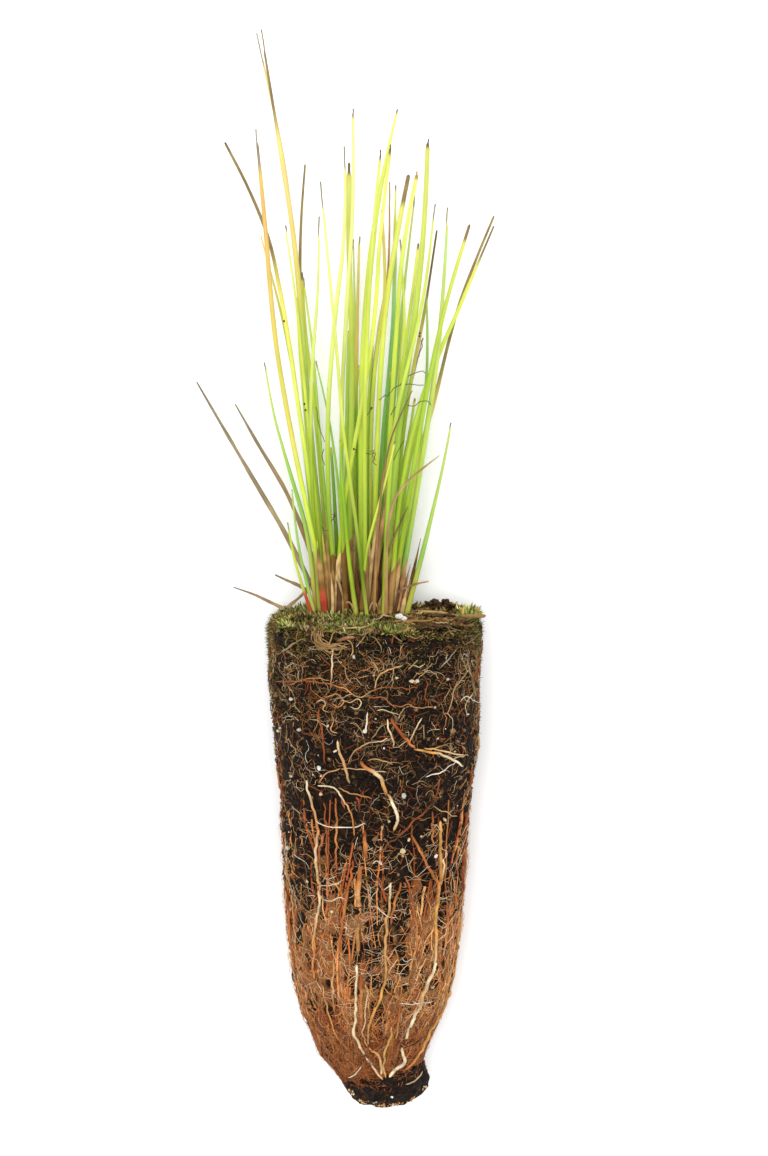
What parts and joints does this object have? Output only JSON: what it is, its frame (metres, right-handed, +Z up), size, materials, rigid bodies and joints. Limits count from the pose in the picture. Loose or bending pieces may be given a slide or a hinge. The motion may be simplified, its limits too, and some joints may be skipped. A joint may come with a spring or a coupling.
{
  "type": "soft rush plug with bare root ball",
  "caption": "Young clump of soft rush lifted out of a deep growing cell, its tapered root ball bare, lying on its side with green and yellow stems fanned out.",
  "frame": {"origin": "centre of the bounding box at the surface that the plant lies on", "axes": "+Z up, +Y along the plant from the root ball's narrow end to the tips of the stems, +X across it, to the right as seen from above with the stems at the top"},
  "size_m": [0.0764, 0.2752, 0.058],
  "materials": {
    "soil": "damp dark peat and bark crumbs, matt, with a mat of fine rust, tan and cream roots over its side",
    "soil_crumb": "near-black damp crumbly soil with a few pale specks, matt",
    "moss": "short tufted moss, olive to bright green with brown tips, matt",
    "perlite": "chalky white, rough, porous",
    "root": "cream to golden tan root skin, faintly wrinkled along its length, dull satin",
    "stem_yellow": "smooth fine-ribbed living stem, yellow above and green below with a dried tip, satin",
    "stem_orange": "fading stem, orange-yellow with a grey-brown tip and a red foot, satin",
    "stem_lime": "smooth fine-ribbed living stem, yellow-green with a dried tip, satin",
    "stem_green": "smooth fine-ribbed living stem, fresh green, satin",
    "stem_teal": "smooth fine-ribbed living stem, bluish green, satin",
    "dead_brown": "dry shrunken stem, grey-brown and lightly streaked, matt",
    "dead_straw": "dry straw-coloured blade, streaked along its length, matt"
  },
  "bodies": {
    "root": {"root_ball": "soil", "soil_crumb": "soil_crumb", "moss_mat": "moss", "perlite_grain": "perlite", "stem_01": "stem_yellow", "stem_02": "stem_yellow", "stem_03": "stem_orange", "stem_04": "stem_yellow", "stem_05": "stem_yellow", "stem_06": "stem_yellow", "stem_07": "stem_lime", "stem_08": "stem_lime", "stem_09": "stem_lime", "stem_10": "stem_green", "stem_11": "stem_lime", "stem_12": "stem_yellow", "stem_13": "stem_lime", "stem_14": "stem_orange", "stem_15": "stem_green", "stem_16": "stem_green", "stem_17": "stem_lime", "stem_18": "stem_yellow", "stem_19": "stem_yellow", "stem_20": "dead_brown", "stem_21": "stem_teal", "stem_22": "stem_yellow", "stem_23": "stem_lime", "stem_24": "stem_green", "stem_25": "stem_lime", "stem_26": "stem_lime", "stem_27": "stem_lime", "stem_28": "dead_brown", "stem_29": "stem_green", "stem_30": "stem_yellow", "stem_31": "dead_brown", "stem_32": "stem_yellow", "stem_33": "stem_green", "stem_34": "dead_brown", "stem_35": "stem_green", "stem_36": "stem_yellow", "stem_37": "stem_green", "stem_38": "stem_green", "stem_39": "stem_green", "stem_40": "stem_green", "stem_41": "stem_green", "dead_blade_01": "dead_straw", "dead_blade_02": "dead_brown", "dead_blade_03": "dead_straw", "dead_blade_04": "dead_brown", "dead_blade_05": "dead_brown", "litter_01": "dead_straw", "litter_02": "dead_straw", "litter_03": "dead_brown", "litter_04": "dead_brown", "litter_05": "dead_straw", "thick_root_01": "root", "thick_root_02": "root", "thick_root_03": "root", "thick_root_04": "root", "thick_root_05": "root"}
  },
  "joints": []
}
